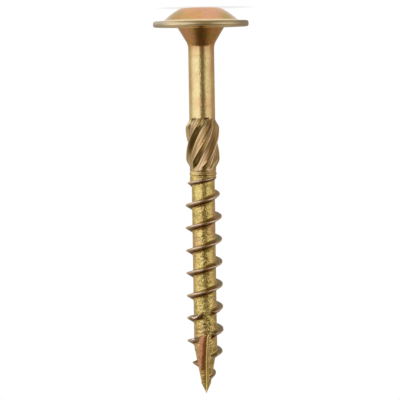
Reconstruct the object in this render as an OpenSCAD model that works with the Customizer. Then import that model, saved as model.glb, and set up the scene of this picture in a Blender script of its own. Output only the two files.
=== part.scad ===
// Washer head construction screw: a one-piece cold formed timber screw.
// It stands on the flat of its domed head, with the point up the +Z axis.
// The origin is the centre of that flat. Thread and ribs are right-handed.

/* [Overall] */
// Length under the head, from the bearing face to the tip
length = 80; // [66:1:160]

/* [Head] */
// Diameter of the washer flange
flange_d = 20.6; // [18:0.1:26]
// Thickness of the washer flange
flange_t = 1.3; // [1:0.05:2.4]
// Radius of the two rounded edges of the flange rim
rim_r = 0.4; // [0.1:0.05:0.5]
// Diameter of the dome where it meets the flange
dome_d = 16.1; // [14.5:0.1:17.5]
// Height of the dome above the flange
dome_h = 2.8; // [2:0.1:4]
// Radius of the dome's curved side
dome_r = 11.5; // [8:0.5:30]
// Diameter of the flat on top of the dome
flat_d = 8.2; // [7.6:0.1:9.5]

/* [Drive recess] */
// Width across two opposite lobes
lobe_d = 6.75; // [6:0.05:7.2]
// Width across two opposite ridges between the lobes
ridge_d = 4.85; // [4.4:0.05:5.3]
// Radius of a lobe's rounded end
lobe_r = 0.55; // [0.5:0.01:0.65]
// Depth of the lobes
recess_depth = 3.2; // [2.2:0.1:3.8]
// Depth of the cone below the lobes
recess_cone_h = 0.9; // [0.4:0.1:1.4]

/* [Neck and shank] */
// Diameter of the neck at the bearing face
neck_d = 10.2; // [8.5:0.1:13]
// Angle of the neck's side from the axis
neck_angle = 31; // [24:1:45]
// Radius of the fillet between neck and shank
neck_fillet = 2.7; // [1:0.1:5]
// Diameter of the plain shank
shank_d = 5.6; // [5.2:0.05:6]

/* [Cutting ribs] */
// Number of helical cutting ribs
rib_count = 6; // [4:1:8]
// Diameter over the ribs
rib_d = 7.25; // [6.6:0.05:8]
// Diameter at the bottom of the grooves between the ribs
groove_d = 5.2; // [4.8:0.1:5.6]
// Length of the ribbed section
rib_l = 11.45; // [7:0.05:16]
// Advance of a rib in one full turn
rib_lead = 32.5; // [24:0.1:60]
// Length over which the ribs rise out of the shank
rib_rise_l = 2.3; // [1.2:0.1:3]
// Length over which the ribs fall to the collar
rib_fall_l = 1.3; // [1.2:0.1:3]
// Length of the step in which a groove ends at the collar
groove_step_l = 0.4; // [0.2:0.1:1.2]
// Roundness of a rib's crest, where 0 is a knife edge
rib_crest = 0.16; // [0:0.02:0.6]
// Diameter of the collar between ribs and thread
collar_d = 5.75; // [5.4:0.05:6.4]
// Length of the collar
collar_l = 1.5; // [0.8:0.1:4]

/* [Thread] */
// Diameter over the thread
thread_d = 7.85; // [7:0.05:9]
// Diameter of the core under the thread
core_d = 5; // [4.4:0.05:5.3]
// Distance from one turn to the next
pitch = 4.95; // [4:0.05:6]
// Length of the thread, from the collar to the tip
thread_l = 47.6; // [36:0.1:60]
// Width of the thread's crest
crest_w = 0.25; // [0.15:0.05:0.4]
// Angle of the flank on the head side, from square to the axis
head_flank = 12; // [6:1:20]
// Angle of the flank on the point side, from square to the axis
point_flank = 30; // [20:1:35]
// Number of turns in which the thread grows to its full height
start_turns = 1.5; // [0.8:0.1:3]
// Length of the thread's start that is hidden in the collar
thread_start_l = 0.9; // [0:0.1:2]

/* [Point] */
// Length of the tapered point
point_l = 10.4; // [8:0.1:16]
// Length of the blunter tip at its end
tip_l = 2.2; // [1.4:0.1:3]
// Diameter where the tip begins
tip_d = 1.95; // [1.4:0.05:2.6]
// Length from where the notch's ramp leaves the axis to the tip
notch_deep_l = 7; // [5:0.1:9]
// Slope of the notch's ramp to the axis
notch_slope = 17.6; // [12:0.1:30]
// Slant of the notch's lip, the wall beside the ramp
notch_slant = 3.5; // [1:0.1:8]
// Distance of the ramp from the axis beside the tip
ramp_offset = 0.15; // [0.05:0.01:0.4]
// Distance of the lip from the axis beside the tip
lip_offset = 0.05; // [0.02:0.01:0.4]

/* [Hidden] */
$fn = 96;
zinc_yellow = "#c9a25e";
// Extra length by which one solid runs into the next, or a cut past a face
overlap = 0.5;
// Angle at which a groove between the ribs meets the collar
rib_turn = 5;
// Angle at which the thread's crest reaches the level of the tip
thread_turn = 138;
// Steps round the axis: a whole number for each rib
steps_per_rib = 8;
steps = steps_per_rib * rib_count;
step_angle = 360 / steps;
// How far a vertex keeps off the end of the helical surface, in rows
end_margin = 0.3;
// Curve by which the thread's height grows at both its ends
growth = 0.6;
// Length next to the tip that has no thread
bare_tip_l = 1;
// Direction that the notch's ramp faces
notch_turn = 244;

bearing_z = dome_h + flange_t;
tip_z = bearing_z + length;
thread_z = tip_z - thread_l;
rib_end_z = thread_z - collar_l;
rib_z = rib_end_z - rib_l;

shank_r = shank_d / 2;
core_r = core_d / 2;
thread_h = (thread_d - core_d) / 2;

// Centre of the dome's arc, through the edge of the flat and the foot of the dome
dome_chord = [(dome_d - flat_d) / 2, dome_h];
dome_across = [-dome_chord.y, dome_chord.x] / norm(dome_chord);
dome_centre = [(dome_d + flat_d) / 4, dome_h / 2]
    + dome_across * sqrt(dome_r ^ 2 - (norm(dome_chord) / 2) ^ 2);

// Outline of the head, neck and shank, from the axis outwards

module dome_section() {
    intersection() {
        square([dome_d / 2, dome_h + flange_t / 2]);
        translate(dome_centre) circle(r = dome_r);
    }
}

module flange_section() {
    rim_x = flange_d / 2 - rim_r;
    translate([0, dome_h]) {
        square([rim_x, flange_t]);
        translate([0, rim_r]) square([flange_d / 2, flange_t - 2 * rim_r]);
        for (y = [rim_r, flange_t - rim_r])
            translate([rim_x, y]) circle(r = rim_r, $fn = 32);
    }
}

module neck_section() {
    neck_l = (neck_d / 2 - shank_r) / tan(neck_angle);
    tangent_l = neck_fillet * tan(neck_angle / 2);
    corner = [shank_r, bearing_z + neck_l];
    up_shank = corner + [0, tangent_l];
    up_neck = corner + tangent_l * [sin(neck_angle), -cos(neck_angle)];
    polygon([
        [0, bearing_z - flange_t / 2],
        [neck_d / 2, bearing_z - flange_t / 2],
        [neck_d / 2, bearing_z],
        corner,
        [0, corner.y],
    ]);
    difference() {
        polygon([corner, up_neck, up_shank]);
        translate(up_shank + [neck_fillet, 0]) circle(r = neck_fillet);
    }
}

module blank() {
    rotate_extrude() {
        dome_section();
        flange_section();
        neck_section();
        translate([0, bearing_z - flange_t / 2])
            square([shank_r, rib_z + overlap - bearing_z + flange_t / 2]);
    }
}

// Six-lobe drive recess in the top of the head

module six_lobe() {
    ridge_r = ridge_d / 2;
    lobe_at = lobe_d / 2 - lobe_r;
    hollow_r = (lobe_r ^ 2 - lobe_at ^ 2 - ridge_r ^ 2 + sqrt(3) * lobe_at * ridge_r)
        / (2 * ridge_r - sqrt(3) * lobe_at - 2 * lobe_r);
    hollow_at = ridge_r + hollow_r;
    difference() {
        polygon([for (k = [0:11]) (k % 2 == 0 ? lobe_at : hollow_at) * [cos(30 * k), sin(30 * k)]]);
        for (k = [0:5])
            rotate(60 * k + 30) translate([hollow_at, 0]) circle(r = hollow_r);
    }
    for (k = [0:5])
        rotate(60 * k) translate([lobe_at, 0]) circle(r = lobe_r, $fn = 32);
}

module drive_recess() {
    translate([0, 0, -overlap]) linear_extrude(recess_depth + overlap) six_lobe();
    translate([0, 0, recess_depth]) cylinder(h = recess_cone_h, d1 = ridge_d, d2 = 0);
}

// Ribbed, threaded and pointed end, as one closed surface.
// Flat rings follow the ribs down to the collar. From there the rows of the
// surface follow the thread's helix, so that its crest and roots are edges.

// Share of the way from a to b, from 0 to 1, with a smooth start and end
function ease(a, b, x) =
    let (t = min(max((x - a) / (b - a), 0), 1)) t * t * (3 - 2 * t);

// Height of a rib across its width, from a groove at 0 to the next at 360
function rib_form(phase) =
    1 - (norm([cos(phase / 2), rib_crest]) - rib_crest) / (norm([1, rib_crest]) - rib_crest);

function rib_radius(i, z) =
    let (
        sunk_r = min(shank_d, groove_d) / 2 - overlap / 2,
        ribbed_r = (groove_d + (rib_d - groove_d) * rib_form(i * 360 / steps_per_rib)) / 2,
        fall_l = ribbed_r > collar_d / 2 ? rib_fall_l : groove_step_l,
        rise = ease(rib_z - overlap, rib_z + rib_rise_l, z),
        fall = ease(rib_end_z, rib_end_z - fall_l, z),
        start_r = sunk_r + (ribbed_r - sunk_r) * rise
    )
    collar_d / 2 + (start_r - collar_d / 2) * fall;

function rib_angle(i, z) = i * step_angle + rib_turn + 360 * (z - rib_end_z) / rib_lead;

rise_rings = 6;
body_rings = 7;
fall_rings = 5;
rise_end_z = rib_z + rib_rise_l;
fall_start_z = rib_end_z - rib_fall_l;
ring_z = [
    for (k = [0:rise_rings - 1]) rib_z - overlap + (rib_rise_l + overlap) * k / rise_rings,
    for (k = [0:body_rings - 1]) rise_end_z + (fall_start_z - rise_end_z) * k / body_rings,
    for (k = [0:fall_rings - 1]) fall_start_z + rib_fall_l * k / fall_rings,
    rib_end_z,
];
ring_count = len(ring_z);

// Rows across one pitch, as [distance from the crest's middle, share of the thread's height]
head_root = -crest_w / 2 - thread_h * tan(head_flank);
point_root = crest_w / 2 + thread_h * tan(point_flank);
rows = [
    [head_root, 0],
    [-crest_w / 2, 1],
    [crest_w / 2, 1],
    [point_root, 0],
    [(point_root + pitch + head_root) / 2, 0],
];
row_count = len(rows);
turn_count = ceil(thread_l / pitch) + 2;
last_row = row_count * turn_count - 1;
// Level of the crest at angle 0 one turn before the thread
first_crest_z = tip_z - pitch * (thread_turn / 360 + ceil(thread_l / pitch) + 1);

function core_radius(z) =
    let (
        cone_z = tip_z - point_l,
        blunt_z = tip_z - tip_l
    )
    z < cone_z ? core_r
    : z < blunt_z ? core_r + (tip_d / 2 - core_r) * (z - cone_z) / (blunt_z - cone_z)
    : tip_d / 2 * max(tip_z - z, 0) / tip_l;

function thread_share(z) =
    let (
        grown = min(max((z - thread_z + thread_start_l) / (pitch * start_turns), 0), 1),
        left = min(max((tip_z - bare_tip_l - z) / (point_l - bare_tip_l), 0), 1)
    )
    min(grown, left) ^ growth;

function row_z(i, j) =
    first_crest_z + pitch * (floor(j / row_count) + (i * step_angle + rib_turn) / 360)
    + rows[j % row_count][0];

function thread_point(i, j) =
    let (
        z = row_z(i, j),
        r = core_radius(z) + thread_h * rows[j % row_count][1] * thread_share(z),
        a = i * step_angle + rib_turn
    )
    [r * cos(a), r * sin(a), z];

function ring_point(i, z) =
    let (r = rib_radius(i, z), a = rib_angle(i, z))
    [r * cos(a), r * sin(a), z];

// Numbers of the points: rings first, then the collar's end, the helical rows and the tip
collar_first = ring_count * steps;
thread_first = collar_first + steps;
tip_index = thread_first + (last_row + 1) * steps;

// A vertex of the helical surface: past either end it is the collar's edge or the tip.
// After a full turn the surface goes on one pitch further along.
function thread_index(i, j) =
    i == steps ? thread_index(0, j + row_count)
    : j > last_row ? tip_index
    : let (z = row_z(i, j), margin = end_margin * pitch / row_count)
        z < thread_z + margin ? collar_first + i
        : z > tip_z - margin ? tip_index
        : thread_first + j * steps + i;

function quad(a, b, c, d) = [[a, b, c], [a, c, d]];
function is_face(f) = f[0] != f[1] && f[1] != f[2] && f[2] != f[0];

module rolled_end() {
    collar_edge = [for (i = [0:steps - 1])
        let (a = i * step_angle + rib_turn)
        [collar_d / 2 * cos(a), collar_d / 2 * sin(a), thread_z]];
    points = [
        for (z = ring_z, i = [0:steps - 1]) ring_point(i, z),
        each collar_edge,
        for (j = [0:last_row], i = [0:steps - 1]) thread_point(i, j),
        [0, 0, tip_z],
    ];
    cap = [for (i = [0:steps - 1]) i];
    ring_faces = [
        for (k = [0:ring_count - 1], i = [0:steps - 1])
            let (a = k * steps, next = (i + 1) % steps)
            each quad(a + i, a + steps + i, a + steps + next, a + next)
    ];
    thread_faces = [
        for (j = [0:last_row], i = [0:steps - 1])
            each quad(
                thread_index(i, j), thread_index(i, j + 1),
                thread_index(i + 1, j + 1), thread_index(i + 1, j)
            )
    ];
    polyhedron(points, [cap, each ring_faces, for (f = thread_faces) if (is_face(f)) f]);
}

// Quarter notch that makes the point bore its own hole. Its two walls are square to
// each other: a ramp that climbs from the axis out through the thread, and a steep
// lip. Beside the tip, both follow the axis.

module notch_wall(offset, slope) {
    reach = 2 * thread_d;
    deep_z = tip_z - notch_deep_l;
    run_l = (thread_d / 2 - ramp_offset) / tan(notch_slope) + overlap;
    rotate([90, 0, 0])
        linear_extrude(2 * reach, center = true)
            polygon([
                [offset, tip_z + overlap],
                [offset, deep_z],
                [offset + run_l * tan(slope), deep_z - run_l],
                [reach, deep_z - run_l],
                [reach, tip_z + overlap],
            ]);
}

module point_notch() {
    rotate(notch_turn)
        intersection() {
            notch_wall(ramp_offset, notch_slope);
            rotate(90) notch_wall(lip_offset, notch_slant);
        }
}

module screw() {
    color(zinc_yellow)
        difference() {
            union() {
                blank();
                rolled_end();
            }
            drive_recess();
            point_notch();
        }
}

screw();
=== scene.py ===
import math
from types import SimpleNamespace

import bmesh
import bpy
from mathutils import Matrix, Quaternion, Vector, noise


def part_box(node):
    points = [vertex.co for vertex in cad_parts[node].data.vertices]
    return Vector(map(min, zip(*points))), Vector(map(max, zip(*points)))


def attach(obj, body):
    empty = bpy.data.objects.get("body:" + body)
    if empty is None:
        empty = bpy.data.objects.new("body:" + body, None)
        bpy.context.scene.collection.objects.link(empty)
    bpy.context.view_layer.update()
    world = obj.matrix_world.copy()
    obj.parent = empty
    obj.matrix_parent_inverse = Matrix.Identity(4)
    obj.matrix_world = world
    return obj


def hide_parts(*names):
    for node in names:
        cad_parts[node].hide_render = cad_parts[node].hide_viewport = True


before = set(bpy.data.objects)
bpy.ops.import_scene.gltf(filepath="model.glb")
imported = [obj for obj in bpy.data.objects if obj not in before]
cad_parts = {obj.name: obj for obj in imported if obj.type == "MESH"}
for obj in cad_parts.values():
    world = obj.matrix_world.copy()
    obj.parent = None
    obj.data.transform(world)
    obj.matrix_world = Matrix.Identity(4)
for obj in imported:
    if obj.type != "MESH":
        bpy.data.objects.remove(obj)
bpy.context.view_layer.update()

mm = 0.001  # the screw is modelled in millimetres and scaled once
fullTurn = 2 * math.pi
roundSteps = 96  # faces round the axis, a whole number to each rib
stepAngle = fullTurn / roundSteps
mergeDistance = 0.002  # millimetres
sharpAngle = math.radians(40)  # sharper edges stay crisp
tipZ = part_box("screw")[1].z / mm


def ease(start, end, x):  # 0 to 1 with a soft start and end
    t = min(max((x - start) / (end - start), 0), 1)
    return t * t * (3 - 2 * t)


def within(band, x):  # rises over the band's first two values and falls over its last two
    rise, full, fade, gone = band
    return ease(rise, full, x) * ease(gone, fade, x)


def around(r, angle, z):
    return Vector((r * math.cos(angle), r * math.sin(angle), z))


def wireOf(bm, points):  # a chain of edges in the plane y = 0, from (radius, height) pairs
    verts = [bm.verts.new((r, 0, z)) for r, z in points]
    for pair in zip(verts, verts[1:]):
        bm.edges.new(pair)
    return verts


def roundCorner(bm, vert, offset, segments):
    bmesh.ops.bevel(
        bm, geom=[vert], offset=offset, offset_type="OFFSET", affect="VERTICES",
        segments=segments, profile=0.5, material=-1,
    )


def spinRound(bm):
    bmesh.ops.spin(
        bm, geom=bm.verts[:] + bm.edges[:], cent=(0, 0, 0), axis=(0, 0, 1),
        angle=fullTurn, steps=roundSteps, use_merge=True,
    )


def extrudeRing(bm, ring):  # gives the fresh vertices and the ring of edges between them
    made = bmesh.ops.extrude_edge_only(bm, edges=ring)["geom"]
    fresh = {g for g in made if isinstance(g, bmesh.types.BMVert)}
    return fresh, [g for g in made if isinstance(g, bmesh.types.BMEdge) and fresh.issuperset(g.verts)]


def finishPiece(bm, name, unit=1):  # unit is what the mesh counts in, in metres
    bmesh.ops.scale(bm, vec=(unit, unit, unit), verts=bm.verts)
    mesh = bpy.data.meshes.new(name)
    bm.to_mesh(mesh)
    bm.free()
    piece = bpy.data.objects.new(name, mesh)
    bpy.context.scene.collection.objects.link(piece)
    return piece


head = {
    "flatD": 8.2,  # the flat that the screw stands on
    "domeD": 16.1,
    "domeH": 2.8,
    "domeR": 11.5,
    "domeSteps": 10,
    "flangeD": 20.6,
    "flangeT": 1.3,
    "neckD": 10.2,
    "neckAngle": 31,
    "shankD": 5.6,
    # rounded edges: size and steps
    "flatRound": (0.35, 4),
    "footRound": (0.22, 3),
    "rimRound": (0.42, 5),
    "neckRound": (0.35, 4),
    "shankFillet": (2.7, 8),
}
bearingZ = head["domeH"] + head["flangeT"]
shankR = head["shankD"] / 2


def arcBetween(a, b, radius, steps):  # bulges away from the axis
    chord = b - a
    inward = Vector((-chord.y, chord.x)).normalized()
    centre = (a + b) / 2 + inward * math.sqrt(radius ** 2 - (chord.length / 2) ** 2)
    first = math.atan2(a.y - centre.y, a.x - centre.x)
    last = math.atan2(b.y - centre.y, b.x - centre.x)
    angles = [first + (last - first) * k / steps for k in range(steps + 1)]
    return [(centre.x + radius * math.cos(t), centre.y + radius * math.sin(t)) for t in angles]


def makeBlank(bm):  # head, neck and shank, turned in one go
    flat = Vector((head["flatD"] / 2, 0))
    foot = Vector((head["domeD"] / 2, head["domeH"]))
    rimR = head["flangeD"] / 2
    neckR = head["neckD"] / 2
    neckAngle = math.radians(head["neckAngle"])
    neckL = (neckR - shankR) / math.tan(neckAngle)
    dome = arcBetween(flat, foot, head["domeR"], head["domeSteps"])
    outline = [
        (0, 0),
        *dome,
        (rimR, head["domeH"]),
        (rimR, bearingZ),
        (neckR, bearingZ),
        (shankR, bearingZ + neckL),
        (shankR, ribZ - ribs["leadIn"]),
        (shankR, ribZ),
    ]
    filletR, filletSteps = head["shankFillet"]
    _, *domeVerts, rimFront, rimBack, neckFoot, neckEnd, _, _ = wireOf(bm, outline)
    roundCorner(bm, domeVerts[0], *head["flatRound"])
    roundCorner(bm, domeVerts[-1], *head["footRound"])
    roundCorner(bm, rimFront, *head["rimRound"])
    roundCorner(bm, rimBack, *head["rimRound"])
    roundCorner(bm, neckFoot, *head["neckRound"])
    roundCorner(bm, neckEnd, filletR * math.tan(neckAngle / 2), filletSteps)
    spinRound(bm)
    bmesh.ops.remove_doubles(bm, verts=bm.verts, dist=mergeDistance)


ribs = {
    "count": 6,
    "overD": 7.25,
    "grooveD": 5.2,
    "length": 11.45,
    "lead": 36,  # advance in one turn
    "crestRound": 0.2,  # 0 is a knife edge
    "skew": 0.45,  # makes the right-hand walls steeper than the left-hand ones
    "riseL": 2.3,
    "fallL": 2.4,  # the ridges slope down to the collar
    "fillL": 1.3,  # the grooves run out before it
    "stepL": 0.5,  # the grooves start in a short step
    "scoop": 0.42,  # extra depth where a groove starts
    "scoopL": 1.8,
    "leadIn": 0.3,  # plain stretch that keeps the shank's shading even
    "rings": 57,
    "grooveAngle": 2.9,  # degrees
    "collarD": 5.75,
    "collarL": 1.5,
    "collarRings": 12,
    "collarWave": 0.09,
    "collarWaves": 1.5,  # groove, bead and groove
}
collarR = ribs["collarD"] / 2


def ribTwist(z):
    return fullTurn * (z - ribZ) / ribs["lead"]


def fromGroove(angle):  # 0 along a groove, a quarter turn on a crest, by the angle where the ribs start
    half = (angle - math.radians(ribs["grooveAngle"])) * ribs["count"] / 2
    half = (half + math.pi / 2) % math.pi - math.pi / 2
    return half - ribs["skew"] * math.cos(half)


def ribForm(angle):  # 1 on a rib's crest, 0 along a groove
    soft = ribs["crestRound"]
    return 1 - (math.hypot(math.cos(fromGroove(angle)), soft) - soft) / (math.hypot(1, soft) - soft)


def ribSide(angle):  # above 0 on the left-hand wall of a rib, as the camera sees it
    return -math.sin(2 * fromGroove(angle))


def ribRadius(angle, z):
    form = ribForm(angle)
    ribbedR = (ribs["grooveD"] + (ribs["overD"] - ribs["grooveD"]) * form) / 2
    ribbedR -= ribs["scoop"] * (1 - form) * ease(ribZ + ribs["scoopL"], ribZ, z)
    start = ease(ribZ, ribZ + (ribs["riseL"] if ribbedR > shankR else ribs["stepL"]), z)
    end = ease(ribEndZ, ribEndZ - (ribs["fallL"] if ribbedR > collarR else ribs["fillL"]), z)
    return collarR + (shankR + (ribbedR - shankR) * start - collarR) * end


def collarRadius(z):  # a low bead between two grooves
    share = (z - ribEndZ) / ribs["collarL"]
    return collarR - ribs["collarWave"] * math.sin(ribs["collarWaves"] * fullTurn * share)


def levels(start, length, count):  # evenly spaced heights, without the start itself
    return [start + length * k / count for k in range(1, count + 1)]


def rollRibs(bm):  # rings that follow the ribs, then the collar
    ring = [e for e in bm.edges if e.is_boundary]
    number = bm.verts.layers.int.new("number")
    hollow = bm.verts.layers.float.new("ribHollow")
    side = bm.verts.layers.float.new("ribSide")
    for v in {v for e in ring for v in e.verts}:
        v[number] = round(math.atan2(v.co.y, v.co.x) / stepAngle)
    ribLevels = levels(ribZ, ribs["length"], ribs["rings"])
    collarLevels = levels(ribEndZ, ribs["collarL"], ribs["collarRings"])
    for z in ribLevels + collarLevels:
        fresh, ring = extrudeRing(bm, ring)
        for v in fresh:
            angle = v[number] * stepAngle
            radius = ribRadius(angle, z) if z <= ribEndZ else collarRadius(z)
            v.co = around(radius, angle + ribTwist(min(z, ribEndZ)), z)
            v[hollow] = 1 - ribForm(angle) if z < ribEndZ else 0
            v[side] = ribSide(angle)


thread = {
    "overD": 7.85,
    "coreD": 5,
    "pitch": 4.95,
    "length": 47.6,
    "crestW": 0.3,
    "headFlank": 12,  # degrees from square to the axis
    "pointFlank": 30,
    "rootRound": (0.3, 4),  # size and steps
    "crestRound": (0.07, 2),
    "edgeL": 0.4,  # longer edges of the outline are divided
    "startTurns": 1.5,
    "growth": 0.6,
    "startL": 0.9,  # the first turn is pressed up against the collar
    "startReach": 1.6,
    "endTurn": 138,  # angle at which the crest reaches the level of the tip
    "endMargin": 0.12,
    "collarBlend": 0.7,
    "collarLean": (0.45, 0.16),  # the collar ends along a slant
    "nick": (0.05, 1.3),  # uneven height: size, and noise scale to a millimetre
    "burr": (0.4, 0.9),  # torn thread round the notch, likewise
    "burrSeed": 5,
    "burrRoot": 0.25,  # share of the burr that the thread's foot has
    "tornTurn": (65, 105),  # degrees from the notch over which the burr fades
    "tornL": (7, 10, 17.5, 20),  # and where it lies, from the tip
    "flatTurn": (234, 244, 276, 286),  # degrees between which the notch has pressed the thread flat
    "flatL": (11.5, 13, 19, 20),  # and where that is, from the tip
    "flatRagged": (5, 1.7),  # degrees, and noise scale to a millimetre
    "flatDepth": 0.95,
}

point = {
    "length": 10.4,
    "tipL": 2.2,
    "tipD": 1.95,
    "bareL": 2.2,  # the thread ends this far from the tip
    "fade": 0.5,
}

threadZ = tipZ - thread["length"]
ribEndZ = threadZ - ribs["collarL"]
ribZ = ribEndZ - ribs["length"]
coreR = thread["coreD"] / 2
threadH = (thread["overD"] - thread["coreD"]) / 2
tipR = point["tipD"] / 2
coneL = point["length"] - point["tipL"]


def coreRadius(z, x):
    coneZ = tipZ - point["length"]
    if z > coneZ + coneL:
        return tipR * max(tipZ - z, 0) / point["tipL"]
    if z > coneZ:
        return coreR + (tipR - coreR) * (z - coneZ) / coneL
    lean, slant = thread["collarLean"]
    collarEnd = threadZ + lean + slant * x
    return collarR + (coreR - collarR) * ease(collarEnd, collarEnd + thread["collarBlend"], z)


def threadShare(z):  # how much of its full height the thread has there
    grown = (z - threadZ + thread["startL"]) / (thread["pitch"] * thread["startTurns"])
    left = (tipZ - point["bareL"] - z) / (point["length"] - point["bareL"])
    return min(min(max(grown, 0), 1) ** thread["growth"], min(max(left, 0), 1) ** point["fade"])


def nearNotch(angle, z):  # 1 beside the notch, 0 well away from it
    apart = abs((math.degrees(angle) - notch["lies"] + 180) % 360 - 180)
    full, gone = thread["tornTurn"]
    return ease(gone, full, apart) * within(thread["tornL"], tipZ - z)


def pressedFlat(angle, z):  # 1 where the notch has pressed the thread flat
    size, waves = thread["flatRagged"]
    ragged = math.degrees(angle) % 360 + size * noise.noise(Vector((z * waves, 0, 0)))
    return within(thread["flatTurn"], ragged) * within(thread["flatL"], tipZ - z)


def rollThread():  # one pitch of outline, spun along the helix
    bm = bmesh.new()
    pitch = thread["pitch"]
    crestR = coreR + threadH
    halfCrest = thread["crestW"] / 2
    headRoot = -halfCrest - threadH * math.tan(math.radians(thread["headFlank"]))
    pointRoot = halfCrest + threadH * math.tan(math.radians(thread["pointFlank"]))
    valley = (headRoot + pointRoot - pitch) / 2
    seamAngle = ribTwist(ribEndZ)
    turns = math.ceil(thread["length"] / pitch) + 2  # one to spare at each end
    firstCrest = tipZ - pitch * (math.radians(thread["endTurn"]) - seamAngle) / fullTurn
    firstCrest -= pitch * (turns - 1)
    outline = [
        (coreR, valley),
        (coreR, headRoot),
        (crestR, -halfCrest),
        (crestR, halfCrest),
        (coreR, pointRoot),
        (coreR, valley + pitch),
    ]
    verts = wireOf(bm, [(r, z + firstCrest) for r, z in outline])
    _, headFoot, headCrest, pointCrest, pointFoot, _ = verts
    roundCorner(bm, headFoot, *thread["rootRound"])
    roundCorner(bm, pointFoot, *thread["rootRound"])
    roundCorner(bm, headCrest, *thread["crestRound"])
    roundCorner(bm, pointCrest, *thread["crestRound"])
    longEdges = [e for e in bm.edges if e.calc_length() > thread["edgeL"]]
    bmesh.ops.subdivide_edges(bm, edges=longEdges, cuts=2)
    bmesh.ops.rotate(bm, verts=bm.verts, cent=(0, 0, 0), matrix=Matrix.Rotation(seamAngle, 3, "Z"))
    bmesh.ops.spin(
        bm, geom=bm.verts[:] + bm.edges[:], cent=(0, 0, 0), axis=(0, 0, 1),
        dvec=(0, 0, pitch / roundSteps), angle=fullTurn, steps=roundSteps,
    )
    oneTurn = bm.verts[:] + bm.edges[:] + bm.faces[:]
    for turn in range(1, turns):
        copied = bmesh.ops.duplicate(bm, geom=oneTurn)["geom"]
        copiedVerts = [g for g in copied if isinstance(g, bmesh.types.BMVert)]
        bmesh.ops.translate(bm, verts=copiedVerts, vec=(0, 0, pitch * turn))
    bmesh.ops.remove_doubles(bm, verts=bm.verts, dist=mergeDistance)
    shapeThread(bm, seamAngle)
    bmesh.ops.remove_doubles(bm, verts=bm.verts, dist=mergeDistance)
    rolled = bpy.data.meshes.new("rolledThread")
    bm.to_mesh(rolled)
    bm.free()
    return rolled


def shapeThread(bm, seamAngle):  # ends at the collar's edge and at the tip
    noise.seed_set(thread["burrSeed"])
    endMargin = thread["endMargin"]
    startZ = threadZ - thread["startL"]
    fullZ = threadZ + thread["startReach"]
    squeeze = thread["startReach"] / (fullZ - startZ)
    nickSize, nickWaves = thread["nick"]
    burrSize, burrWaves = thread["burr"]
    shareLayer = bm.verts.layers.float.new("threadShare")
    sideLayer = bm.verts.layers.float.new("pointSide")
    for v in bm.verts:
        angle = math.atan2(v.co.y, v.co.x)
        z = v.co.z
        fromCrest = (z - tipZ) / thread["pitch"] + (math.radians(thread["endTurn"]) - angle) / fullTurn
        v[sideLayer] = 1 if (fromCrest + 0.5) % 1 > 0.5 else 0
        pressedZ = threadZ + (z - startZ) * squeeze if z < fullZ else z
        if pressedZ < threadZ + endMargin:
            number = round((angle - seamAngle) / stepAngle)
            v.co = around(collarR, number * stepAngle + seamAngle, threadZ)
        elif z > tipZ - endMargin:
            v.co = Vector((0, 0, tipZ))
        else:
            share = (math.hypot(v.co.x, v.co.y) - coreR) / threadH
            share *= 1 - thread["flatDepth"] * pressedFlat(angle, z)
            v[shareLayer] = share
            height = threadH * share * threadShare(z)
            height += nickSize * share * noise.noise(v.co * nickWaves)
            torn = thread["burrRoot"] + (1 - thread["burrRoot"]) * share
            tear = noise.noise_vector(v.co * burrWaves) * burrSize * nearNotch(angle, z) * torn
            v.co = around(coreRadius(pressedZ, v.co.x) + height, angle, pressedZ) + tear


def makeScrew():
    bm = bmesh.new()
    makeBlank(bm)
    rollRibs(bm)
    rolled = rollThread()
    bm.from_mesh(rolled)
    bpy.data.meshes.remove(rolled)
    bmesh.ops.remove_doubles(bm, verts=bm.verts, dist=mergeDistance)
    bmesh.ops.dissolve_degenerate(bm, edges=bm.edges, dist=mergeDistance / 10)
    bmesh.ops.recalc_face_normals(bm, faces=bm.faces)
    openEdges = [e for e in bm.edges if not e.is_manifold]
    print("screw rolled,", len(bm.faces), "faces,", len(openEdges), "open edges")
    return finishPiece(bm, "screwBody", mm)


def cutWith(piece, cutter):
    cut = piece.modifiers.new("cut", "BOOLEAN")
    cut.object = cutter
    cut.operation = "DIFFERENCE"
    cut.solver = "EXACT"
    cut.material_mode = "TRANSFER"
    bpy.context.view_layer.update()
    shaped = bpy.data.meshes.new_from_object(piece.evaluated_get(bpy.context.evaluated_depsgraph_get()))
    piece.modifiers.remove(cut)
    piece.data = shaped
    bpy.data.objects.remove(cutter)


recess = {
    "lobeD": 6.75,
    "ridgeD": 4.85,
    "lobeR": 0.55,
    "depth": 3.2,
    "coneH": 0.9,
    "steps": 144,
    "overrun": 1,  # how far the cutter stands out of the flat
}


def lobeRadius(angle):  # six-lobe outline: round lobes with round hollows between them
    apart = math.radians(30)  # from a lobe to a ridge
    lobeR = recess["lobeR"]
    lobeAt = recess["lobeD"] / 2 - lobeR
    ridgeR = recess["ridgeD"] / 2
    lean = lobeAt * math.cos(apart)
    hollowR = lobeR ** 2 - lobeAt ** 2 - ridgeR ** 2 + 2 * lean * ridgeR
    hollowR /= 2 * (ridgeR - lean - lobeR)
    hollowAt = ridgeR + hollowR
    hollow = Vector((hollowAt * math.cos(apart), hollowAt * math.sin(apart)))
    touch = Vector((lobeAt, 0)).lerp(hollow, lobeR / (lobeR + hollowR))
    fromLobe = abs((angle + apart) % (2 * apart) - apart)
    if fromLobe < math.atan2(touch.y, touch.x):
        return lobeAt * math.cos(fromLobe) + math.sqrt(lobeR ** 2 - (lobeAt * math.sin(fromLobe)) ** 2)
    fromRidge = apart - fromLobe
    reach = math.sqrt(hollowR ** 2 - (hollowAt * math.sin(fromRidge)) ** 2)
    return hollowAt * math.cos(fromRidge) - reach


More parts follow.
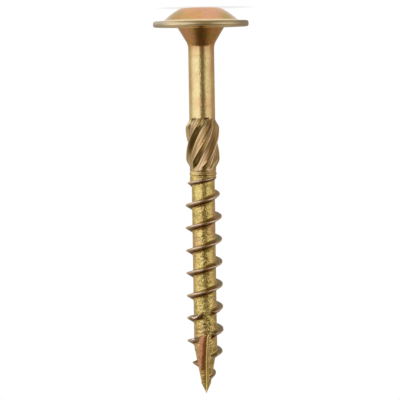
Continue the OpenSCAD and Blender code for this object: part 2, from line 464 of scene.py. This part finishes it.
def makeRecessCutter():
    bm = bmesh.new()
    bmesh.ops.create_circle(bm, cap_ends=True, segments=recess["steps"], radius=1)
    for v in bm.verts:
        angle = math.atan2(v.co.y, v.co.x)
        v.co = around(lobeRadius(angle), angle, -recess["overrun"])
    made = bmesh.ops.extrude_face_region(bm, geom=bm.faces[:])["geom"]
    top = [g for g in made if isinstance(g, bmesh.types.BMVert)]
    bmesh.ops.translate(bm, verts=top, vec=(0, 0, recess["depth"] + recess["overrun"]))
    topFace = [g for g in made if isinstance(g, bmesh.types.BMFace)]
    bmesh.ops.poke(bm, faces=topFace)
    for v in bm.verts:
        if math.hypot(v.co.x, v.co.y) < mergeDistance and v.co.z > 0:
            v.co.z += recess["coneH"]
    bmesh.ops.recalc_face_normals(bm, faces=bm.faces)
    return finishPiece(bm, "recessCutter", mm)


notch = {
    "lies": 270,  # degrees round the axis
    "rampFaces": 244,
    "slope": 14.5,  # degrees between the ramp and the axis
    "runOutSlope": 50,  # the ramp's last stretch
    "runOutL": (12.7, 15.5),  # and where that lies, from the tip
    "lipSlant": 3.5,
    "deepL": 7,  # from where the ramp leaves the axis to the tip
    "offset": 0.15,  # of the ramp from the axis beside the tip
    "reach": 9,
    "overrun": 0.5,  # past the tip
    "cornerRound": (0.11, 3),  # size and steps
}
rampOut = around(1, math.radians(notch["rampFaces"]), 0)  # square to the ramp
lipOut = around(1, math.radians(notch["rampFaces"] + 90), 0)


def notchCorner(fromTip):  # where the ramp and the lip meet
    run = max(fromTip - notch["deepL"], 0)
    runOut = max(fromTip - notch["runOutL"][0], 0)
    ramp = notch["offset"] + (run - runOut) * math.tan(math.radians(notch["slope"]))
    ramp += runOut * math.tan(math.radians(notch["runOutSlope"]))
    lip = run * math.tan(math.radians(notch["lipSlant"]))
    return rampOut * ramp + lipOut * lip + Vector((0, 0, tipZ - fromTip))


def makeNotchCutter():  # a square V, drawn along its corner
    bm = bmesh.new()
    wallIndex = {wall: index for index, wall in enumerate(wallLooks)}
    cornerR, cornerSteps = notch["cornerRound"]
    reach = notch["reach"]
    runOutStart, runOutEnd = notch["runOutL"]
    stops = (runOutEnd, runOutStart, notch["deepL"], -notch["overrun"])
    places = [notchCorner(fromTip) for fromTip in stops]
    wedge = [Vector((0, 0, 0)), rampOut * reach, lipOut * reach]
    verts = [bm.verts.new(places[0] + side) for side in wedge]
    cornerVerts = [verts[0]]
    ring = [bm.edges.new(pair) for pair in zip(verts, verts[1:] + verts[:1])]
    for here, there in zip(places, places[1:]):
        fresh, ring = extrudeRing(bm, ring)
        bmesh.ops.translate(bm, verts=list(fresh), vec=there - here)
        cornerVerts.append(min(fresh, key=lambda v: (v.co - there).length))
    bmesh.ops.holes_fill(bm, edges=bm.edges)
    bmesh.ops.recalc_face_normals(bm, faces=bm.faces)
    for face in bm.faces:
        onRamp = face.normal.dot(rampOut) < face.normal.dot(lipOut)
        face.material_index = wallIndex["ramp" if onRamp else "lip"]
    cornerEdges = [e for e in bm.edges if set(e.verts) <= set(cornerVerts)]
    rounded = bmesh.ops.bevel(
        bm, geom=cornerEdges, offset=cornerR, offset_type="OFFSET", affect="EDGES",
        segments=cornerSteps, profile=0.5, material=-1,
    )
    for face in rounded["faces"]:
        face.material_index = wallIndex["corner"]
    return finishPiece(bm, "notchCutter", mm)


class Sock:  # a socket that takes part in sums
    def __init__(self, tree, socket=None):
        self.tree = tree
        self.socket = socket

    def node(self, kind, settings=None, sockets=None, out=0):
        made = self.tree.nodes.new(kind)
        for name, value in (settings or {}).items():
            if name == "stops":
                self.setStops(made.color_ramp, value)
            else:
                setattr(made, name, value)
        for name, value in (sockets or {}).items():
            if isinstance(value, Sock):
                self.tree.links.new(value.socket, made.inputs[name])
            else:
                made.inputs[name].default_value = value
        return Sock(self.tree, made.outputs[out] if made.outputs else None)

    def setStops(self, ramp, stops):
        while len(ramp.elements) < len(stops):
            ramp.elements.new(0.5)
        for element, (place, colour) in zip(ramp.elements, stops):
            element.position = place
            element.color = colour

    def maths(self, operation, a, b=0.0):
        return self.node("ShaderNodeMath", {"operation": operation}, {0: a, 1: b})

    def __add__(self, other):
        return self.maths("ADD", self, other)

    def __radd__(self, other):
        return self.maths("ADD", other, self)

    def __sub__(self, other):
        return self.maths("SUBTRACT", self, other)

    def __rsub__(self, other):
        return self.maths("SUBTRACT", other, self)

    def __mul__(self, other):
        return self.maths("MULTIPLY", self, other)

    def __rmul__(self, other):
        return self.maths("MULTIPLY", other, self)

    def atMost(self, other):
        return self.maths("MINIMUM", self, other)

    def atLeast(self, other):
        return self.maths("MAXIMUM", self, other)

    def step(self, low, high):  # 0 below low, 1 above high, soft between
        return self.node(
            "ShaderNodeMapRange", {"interpolation_type": "SMOOTHSTEP"},
            {"Value": self, "From Min": low, "From Max": high},
        )

    def within(self, rise, full, fade, gone):  # 1 from full to fade, 0 before rise and after gone
        return self.step(rise, full) * (1 - self.step(fade, gone))

    def mixColour(self, a, b):  # this socket is the factor
        return self.node("ShaderNodeMix", {"data_type": "RGBA"}, {0: self, 6: a, 7: b}, 2)

    def ramp(self, stops):
        return self.node("ShaderNodeValToRGB", {"stops": stops}, {0: self})

    def axes(self):
        return [self.node("ShaderNodeSeparateXYZ", None, {"Vector": self}, axis) for axis in "XYZ"]


def startMaterial(name):
    material = bpy.data.materials.new(name)
    material.use_nodes = True
    material.node_tree.nodes.clear()
    return material, Sock(material.node_tree)


zinc = {
    "cream": (0.94, 0.77, 0.40, 1),
    "yellow": (0.93, 0.73, 0.28, 1),
    "gold": (0.74, 0.55, 0.20, 1),
    "orange": (0.75, 0.39, 0.19, 1),
    "blush": (0.86, 0.55, 0.30, 1),
    "pink": (0.92, 0.62, 0.41, 1),
    "tan": (0.98, 0.82, 0.55, 1),
    "pale": (0.95, 0.76, 0.54, 1),
    "rose": (0.76, 0.37, 0.25, 1),
    "amber": (0.75, 0.40, 0.16, 1),
    "moss": (0.64, 0.44, 0.17, 1),
    "brown": (0.30, 0.13, 0.04, 1),
    "olive": (0.34, 0.26, 0.05, 1),
    "grey": (0.38, 0.35, 0.27, 1),
    "crest": (0.90, 0.67, 0.52, 1),
    "copper": (0.80, 0.38, 0.22, 1),
    "dark": (0.28, 0.10, 0.02, 1),
    "shade": (0.18, 0.055, 0.012, 1),
    "lip": (0.46, 0.34, 0.11, 1),
    "steel": (0.57, 0.49, 0.43, 1),
    "white": (0.90, 0.86, 0.76, 1),
    # where the film's tints meet
    "sheen": [(0.36, "rose"), (0.47, "orange"), (0.57, "amber"), (0.68, "moss")],
    # scale to a millimetre, detail and distortion
    "noises": {
        "patches": (0.17, 3, 0),
        "clouds": (0.33, 4, 0.5),
        "tints": (0.3, 2, 0.8),
        "blotch": (1, 2, 0.8),
        "mottle": (1.6, 2.5, 0.6),
        "grain": (3.2, 4, 0),
        "lines": (1, 3, 0),
    },
    "drawn": (2.8, 2.8, 0.16),  # stretches the lines along the ribs
    # heights over which each zone rises and fades
    "zones": {
        "onRim": (2.4, 2.9, bearingZ - 0.1, bearingZ + 0.1),
        "onNeck": (bearingZ, bearingZ + 0.5, 7, 11),
        "onShank": (9, 11, ribZ - 0.5, ribZ),
        "onRibs": (ribZ - 0.2, ribZ + 0.5, ribEndZ - 0.3, ribEndZ + 0.3),
        "byNotch": (tipZ - 21, tipZ - 18.5, tipZ - 14, tipZ - 11),
        "byBurr": (tipZ - 14, tipZ - 13, tipZ - 10, tipZ - 9),
        "byRamp": (tipZ - 14.6, tipZ - 13.8, tipZ - 5.4, tipZ - 4.6),
    },
    "domeEnd": (2.5, 3),
    "threadStart": (ribEndZ - 0.3, threadZ),
    # amounts everywhere and in single zones; the relief is in millimetres
    "spots": {"everywhere": 0.05, "onRibs": 0.2, "onThread": 0.2, "torn": 0.3},
    "rough": {"everywhere": 0.08, "grain": 0.08, "onThread": 0.08, "onRibs": 0.05, "onRim": 0.2},
    "relief": {
        "grain": {"everywhere": 0.003, "onThread": 0.012},
        "lines": {"everywhere": 0.004, "onRibs": 0.04},
        "mottle": {"everywhere": 0.014, "onShank": 0.045, "onRibs": 0.012, "bare": 0.1, "torn": 0.1},
        "blotch": {"bare": 0.16},
    },
    "wallRough": 0.12,  # the notch's walls are rougher
    "wallWaves": {"everywhere": 0.03},
}


def cloud(nodes, place, scale, detail, distortion):  # soft noise from 0 to 1
    return nodes.node(
        "ShaderNodeTexNoise", None,
        {"Vector": place, "Scale": scale, "Detail": detail, "Distortion": distortion},
    )


def attribute(nodes, name):
    return nodes.node("ShaderNodeAttribute", {"attribute_name": name}, None, "Fac")


def amountOf(film, amounts):
    return sum(amount * getattr(film, name) for name, amount in amounts.items())


def zincFields(nodes):  # places, noises and zones that the film is laid by
    film = SimpleNamespace(everywhere=1.0)
    place = nodes.node("ShaderNodeTexCoord", out="Object")
    inMm = nodes.node("ShaderNodeVectorMath", {"operation": "SCALE"}, {0: place, "Scale": 1 / mm})
    film.x, film.y, film.z = inMm.axes()
    film.outward = nodes.maths("ABSOLUTE", film.x)
    film.radius = nodes.maths("SQRT", film.x * film.x + film.y * film.y)
    film.fromLip = film.x * lipOut.x + film.y * lipOut.y
    untwist = (film.z - ribZ).atLeast(0.0) * (-fullTurn / ribs["lead"])
    unrolled = nodes.node(
        "ShaderNodeVectorRotate", {"rotation_type": "Z_AXIS"}, {"Vector": inMm, "Angle": untwist},
    )
    along = nodes.node("ShaderNodeVectorMath", {"operation": "MULTIPLY"}, {0: unrolled, 1: zinc["drawn"]})
    for name, settings in zinc["noises"].items():
        setattr(film, name, cloud(nodes, along if name == "lines" else inMm, *settings))
    for name, band in zinc["zones"].items():
        setattr(film, name, film.z.within(*band))
    film.onDome = 1 - film.z.step(*zinc["domeEnd"])
    film.onThread = film.z.step(*zinc["threadStart"])
    film.share = attribute(nodes, "threadShare")
    film.pointSide = attribute(nodes, "pointSide")
    film.hollow = attribute(nodes, "ribHollow")
    # the ribs' left-hand walls, which face the key light
    film.leftWall = attribute(nodes, "ribSide").step(-0.1, 0.1)
    film.bare = film.onThread * (1 - film.share)
    film.torn = (-1 * film.y).step(0.8, 2) * film.byNotch
    film.spots = film.mottle.step(0.5, 0.66) * amountOf(film, zinc["spots"])
    film.spots = film.spots + film.blotch.step(0.5, 0.62) * film.bare * 0.4
    return film


def filmLayers(film):  # yellow, from cream on the shank to orange on the head, with darker spots
    sheen = film.tints.ramp([(place, zinc[tint]) for place, tint in zinc["sheen"]])
    blush = 0.6 * film.patches.step(0.48, 0.62) + 0.5 * (1 - film.x.step(-2.6, -1))
    filmed = 0.3 * film.clouds.step(0.5, 0.68) + 0.9 * film.onDome + 0.95 * film.onNeck
    domeSides = film.outward.step(2.5, 6.5) * (0.3 + 0.5 * film.clouds) + 0.1 * film.mottle.step(0.5, 0.7)
    return [
        (blush.atMost(1.0), zinc["blush"]),
        (0.8 * film.onRibs, zinc["gold"]),
        (filmed.atMost(1.0), sheen),
        (film.onDome * domeSides, zinc["olive"]),
        (0.4 * film.onNeck * film.lines.step(0.46, 0.62), zinc["olive"]),
        (0.9 * film.onRim, zinc["tan"]),
        (0.9 * film.onRim * film.outward.step(5.5, 9), zinc["steel"]),
        (film.spots.atMost(1.0), zinc["olive"]),
    ]


def ribLayers(film):  # painted light and shade on the ribs: pinkish lit left-hand walls, a paler side toward the key light, a painted dark line beside each ridge and painted highlights along the ridges; drawn lines
    # painted shade: a thin dark line beside each ridge on its lit wall
    ridgeShadeLine = film.hollow.within(0.08, 0.12, 0.18, 0.26) * film.leftWall
    return [
        # painted light: the lit left-hand walls turn pink
        (0.75 * film.onRibs * film.leftWall, zinc["pink"]),
        # painted light: the ribs are paler on the side toward the key light
        (0.6 * film.onRibs * film.x.step(1.6, 3), zinc["pale"]),
        (0.6 * film.onRibs * film.lines.step(0.48, 0.56), zinc["olive"]),
        (0.3 * film.onRibs * film.hollow.step(0.6, 0.95), zinc["steel"]),
        (0.6 * film.onRibs * ridgeShadeLine, zinc["brown"]),
        # painted highlight along the ridges
        (0.7 * film.onRibs * (1 - film.hollow.step(0.04, 0.1)), zinc["pale"]),
    ]


def threadLayers(film):  # painted shade under the crest, grey flanks, bare crests, painted glints on the torn thread
    crest = film.share.step(0.85, 0.97)
    flank = film.share.step(0.08, 0.22) * (1 - crest)
    # painted shade: the point-side flank, facing away from the head, turns dark brown
    pointFlankShade = film.pointSide * (1 - film.share.step(0.5, 0.85))
    flankColour = (0.35 * film.clouds.step(0.5, 0.62)).mixColour(zinc["grey"], zinc["copper"])
    # painted glints: white flecks on the torn thread, only on the side toward the key light
    burr = film.share.step(0.4, 0.8) * film.x.step(2.2, 2.8) * film.byBurr
    return [
        (0.95 * flank, pointFlankShade.mixColour(flankColour, zinc["shade"])),
        (crest, zinc["crest"]),
        (0.7 * burr * film.grain.step(0.4, 0.6), zinc["white"]),
    ]


def rampLook(film, colour):  # red-brown where the ramp cuts the core, with painted shade darkening it towards the corner
    coneR = (tipR + (tipZ - point["tipL"] - film.z) * ((coreR - tipR) / coneL)).atMost(coreR)
    inCore = 1 - (film.radius - coneR).step(0.05, 0.3)
    red = inCore * film.byRamp
    # painted shade: copper away from the corner, dark brown near it
    bright = (film.fromLip + 0.9 * (film.blotch - 0.5)).step(0.9, 1.5)
    redColour = bright.mixColour(zinc["dark"], zinc["copper"])
    redColour = (0.4 * film.mottle.step(0.55, 0.7)).mixColour(redColour, zinc["dark"])
    colour = (1 - inCore).mixColour(colour, zinc["crest"])
    return red.mixColour(colour, redColour), 1 - 0.6 * red


def lipLook(film, colour):  # olive with pale flecks
    spotted = (film.spots + 0.3).mixColour(zinc["lip"], zinc["olive"])
    flecks = 0.8 * film.grain.step(0.54, 0.6) * film.radius.step(0.9, 1.6)
    return flecks.mixColour(spotted, zinc["pale"]), 0.5


# painted highlight: the rounded corner is a bright yellow strip
def cornerHighlightLook(film, colour):
    return zinc["yellow"], 0.3


# each look gives a colour and a metallic share
wallLooks = {"ramp": rampLook, "lip": lipLook, "corner": cornerHighlightLook}


def zincMaterial(name, wall=None):
    material, nodes = startMaterial(name)
    film = zincFields(nodes)
    metal = 1.0
    rough = amountOf(film, zinc["rough"])
    relief = dict(zinc["relief"])
    colour = film.onThread.mixColour(zinc["cream"], zinc["yellow"])
    for mask, tint in filmLayers(film) + ribLayers(film) + threadLayers(film):
        colour = mask.mixColour(colour, tint)
    if wall:
        colour, metal = wallLooks[wall](film, colour)
        rough = rough + zinc["wallRough"]
        relief["mottle"] = zinc["wallWaves"]
    height = sum(getattr(film, source) * amountOf(film, amounts) for source, amounts in relief.items())
    bump = nodes.node("ShaderNodeBump", None, {"Strength": 1.0, "Distance": mm, "Height": height})
    shader = nodes.node(
        "ShaderNodeBsdfPrincipled", None,
        {"Base Color": colour, "Metallic": metal, "Roughness": rough, "Normal": bump},
    )
    nodes.node("ShaderNodeOutputMaterial", None, {"Surface": shader})
    return material


platedZinc = zincMaterial("platedZinc")
notchWalls = [zincMaterial(wall + "Zinc", wall) for wall in wallLooks]
print("materials made")

screwBody = makeScrew()
screwBody.data.materials.append(platedZinc)
notchCutter = makeNotchCutter()
for wallZinc in notchWalls:
    notchCutter.data.materials.append(wallZinc)
cutWith(screwBody, notchCutter)
recessCutter = makeRecessCutter()
recessCutter.data.materials.append(platedZinc)
cutWith(screwBody, recessCutter)
for polygon in screwBody.data.polygons:
    polygon.use_smooth = True
screwBody.data.set_sharp_from_angle(angle=sharpAngle)
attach(screwBody, "root")
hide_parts("screw")
print("screw cut,", len(screwBody.data.polygons), "faces")

studio = {
    "floorSize": 6,
    "floorColour": (0.9, 0.9, 0.9, 1),
    "floorGlow": 0.8,
    "evenFloor": (0.05, 0.3),  # distances over which the floor turns an even white
    "worldLevel": 0.4,  # light that the world gives, though it looks white
    "wallR": 0.62,
    "roofH": 0.5,
    "nearR": 0.011,  # closer to the screw than this, the metal shows the floor itself
    "floorGap": 0.0005,
    "warmth": (1, 1.15, 1.5),  # how fast red, green and blue fall in the darker parts
    # what the metal shows, as (degrees to the picture's right of the camera, level)
    "floorRing": [
        (-180, 0.4), (-137, 0.85), (-77, 0.9), (-40, 0.45), (-15, 0.25), (30, 0.2), (80, 0.35), (180, 0.4),
    ],
    "wallRing": [
        (-180, 0.35), (-150, 0.52), (-112, 0.5), (-80, 0.92), (-40, 1), (-24, 0.97), (-6, 0.25),
        (8, 0.18), (18, 0.19), (42, 0.76), (62, 0.78), (80, 0.68), (100, 0.44), (140, 0.4), (180, 0.35),
    ],
    "roofRing": [
        (-180, 0.38), (-110, 0.52), (-75, 0.42), (-40, 0.16), (-15, 0.1), (20, 0.1),
        (50, 0.16), (80, 0.3), (140, 0.36), (180, 0.38),
    ],
    "nearFloor": (0.08, 0.14),  # distances over which the floor's ring gives way to the wall's
    "wallFoot": (0.001, 0.02),  # and heights
    "roofEdge": (0.16, 0.3),  # heights over which the wall's ring gives way to the roof's
}


def ringColour(turn, ring):  # colour by the direction round the screw
    warmth = studio["warmth"]
    stops = [(degrees / 360 + 0.5, (*(level ** part for part in warmth), 1)) for degrees, level in ring]
    return turn.ramp(stops)


def surroundMaterial():
    material, nodes = startMaterial("surround")
    place = nodes.node("ShaderNodeTexCoord", out="Object")
    x, y, z = place.axes()
    turn = nodes.maths("ARCTAN2", -1 * x, -1 * y) * (1 / fullTurn) + 0.5
    flat = nodes.node("ShaderNodeCombineXYZ", None, {"X": x, "Y": y})
    away = nodes.node("ShaderNodeVectorMath", {"operation": "LENGTH"}, {0: flat}, "Value")
    rings = [studio["floorRing"], studio["wallRing"], studio["roofRing"]]
    floorColour, wallColour, roofColour = [ringColour(turn, ring) for ring in rings]
    onWall = away.step(*studio["nearFloor"]).atLeast(z.step(*studio["wallFoot"]))
    colour = onWall.mixColour(floorColour, wallColour)
    colour = z.step(*studio["roofEdge"]).mixColour(colour, roofColour)
    glow = nodes.node("ShaderNodeEmission", None, {"Color": colour, "Strength": 1.0})
    nodes.node("ShaderNodeOutputMaterial", None, {"Surface": glow})
    return material


surroundBm = bmesh.new()
wireOf(surroundBm, [
    (studio["nearR"], studio["floorGap"]),
    (studio["wallR"], studio["floorGap"]),
    (studio["wallR"], studio["roofH"]),
    (0, studio["roofH"]),
])
spinRound(surroundBm)
surround = finishPiece(surroundBm, "surround")  # seen only in the metal
surround.data.materials.append(surroundMaterial())
surround.visible_camera = False
surround.visible_shadow = False
surround.visible_diffuse = False


def backgroundRays(nodes):  # 1 for the rays that see the background: the camera's and reflections
    kinds = ["Is Camera Ray", "Is Glossy Ray", "Is Transmission Ray"]
    rays = [nodes.node("ShaderNodeLightPath", out=kind) for kind in kinds]
    return rays[0].atLeast(rays[1]).atLeast(rays[2])


def floorMaterial():
    material, nodes = startMaterial("paleFloor")
    lit = nodes.node("ShaderNodeBsdfDiffuse", None, {"Color": studio["floorColour"]})
    glow = nodes.node("ShaderNodeEmission", None, {"Color": (1, 1, 1, 1), "Strength": 1.0})
    place = nodes.node("ShaderNodeTexCoord", out="Object")
    away = nodes.node("ShaderNodeVectorMath", {"operation": "LENGTH"}, {0: place}, "Value")
    white = studio["floorGlow"] + (1 - studio["floorGlow"]) * away.step(*studio["evenFloor"])
    share = backgroundRays(nodes) * white
    mixed = nodes.node("ShaderNodeMixShader", None, {0: share, 1: lit, 2: glow})
    nodes.node("ShaderNodeOutputMaterial", None, {"Surface": mixed})
    return material


floorBm = bmesh.new()
bmesh.ops.create_grid(floorBm, x_segments=1, y_segments=1, size=studio["floorSize"] / 2)
floor = finishPiece(floorBm, "floor")
floor.data.materials.append(floorMaterial())

world = bpy.data.worlds.new("paleWorld")
bpy.context.scene.world = world
world.use_nodes = True
world.node_tree.nodes.clear()
worldNodes = Sock(world.node_tree)
worldLevel = studio["worldLevel"] + (1 - studio["worldLevel"]) * backgroundRays(worldNodes)
sky = worldNodes.node("ShaderNodeBackground", None, {"Color": (1, 1, 1, 1), "Strength": worldLevel})
worldNodes.node("ShaderNodeOutputWorld", None, {"Surface": sky})


cameraSide = 270  # degrees round the axis: the camera stands at -Y, and the picture's right is -X


def softbox(name, place, size, level):  # level is how bright its face looks
    lamp = bpy.data.lights.new(name, "AREA")
    lamp.shape = "RECTANGLE"
    lamp.size, lamp.size_y = size
    lamp.energy = level * math.pi * size[0] * size[1]
    box = bpy.data.objects.new(name, lamp)
    bpy.context.scene.collection.objects.link(box)
    box.location = place
    aim = Vector((0, 0, tipZ * mm / 2)) - box.location
    box.rotation_mode = "QUATERNION"
    box.rotation_quaternion = aim.to_track_quat("-Z", "Y")
    box.visible_glossy = False  # the metal shows the surround instead


lamps = {
    "keyLight": {
        "place": around(0.5, math.radians(cameraSide + 56), 0.25),
        "size": (0.64, 0.5),
        "level": 1.5,
    },
    "fillLight": {
        "place": around(0.55, math.radians(cameraSide - 65), 0.25),
        "size": (0.4, 0.4),
        "level": 0.8,
    },
    "topLight": {
        "place": Vector((0.1, 0.1, 0.48)),
        "size": (0.6, 0.6),
        "level": 2.6,
    },
}
for name, settings in lamps.items():
    softbox(name, **settings)
print("studio lit")

view = {
    "distance": 0.35,
    "height": 0.0115,
    "aimZ": 0.0415,
    "aimX": 0.00076,
    "roll": 179.1,  # the picture shows the screw head up
    "lens": 145.5,
    "sensor": 36,
    "clipStart": 0.01,
}
camera = bpy.data.cameras.new("camera")
camera.lens = view["lens"]
camera.sensor_width = view["sensor"]
camera.clip_start = view["clipStart"]
viewer = bpy.data.objects.new("camera", camera)
bpy.context.scene.collection.objects.link(viewer)
viewer.location = (view["aimX"], -view["distance"], view["height"])
lookAt = Vector((view["aimX"], 0, view["aimZ"])) - viewer.location
viewer.rotation_mode = "QUATERNION"
roll = Quaternion((0, 0, 1), math.radians(view["roll"]))
viewer.rotation_quaternion = lookAt.to_track_quat("-Z", "Y") @ roll
bpy.context.scene.camera = viewer
bpy.context.scene.view_settings.view_transform = "Standard"
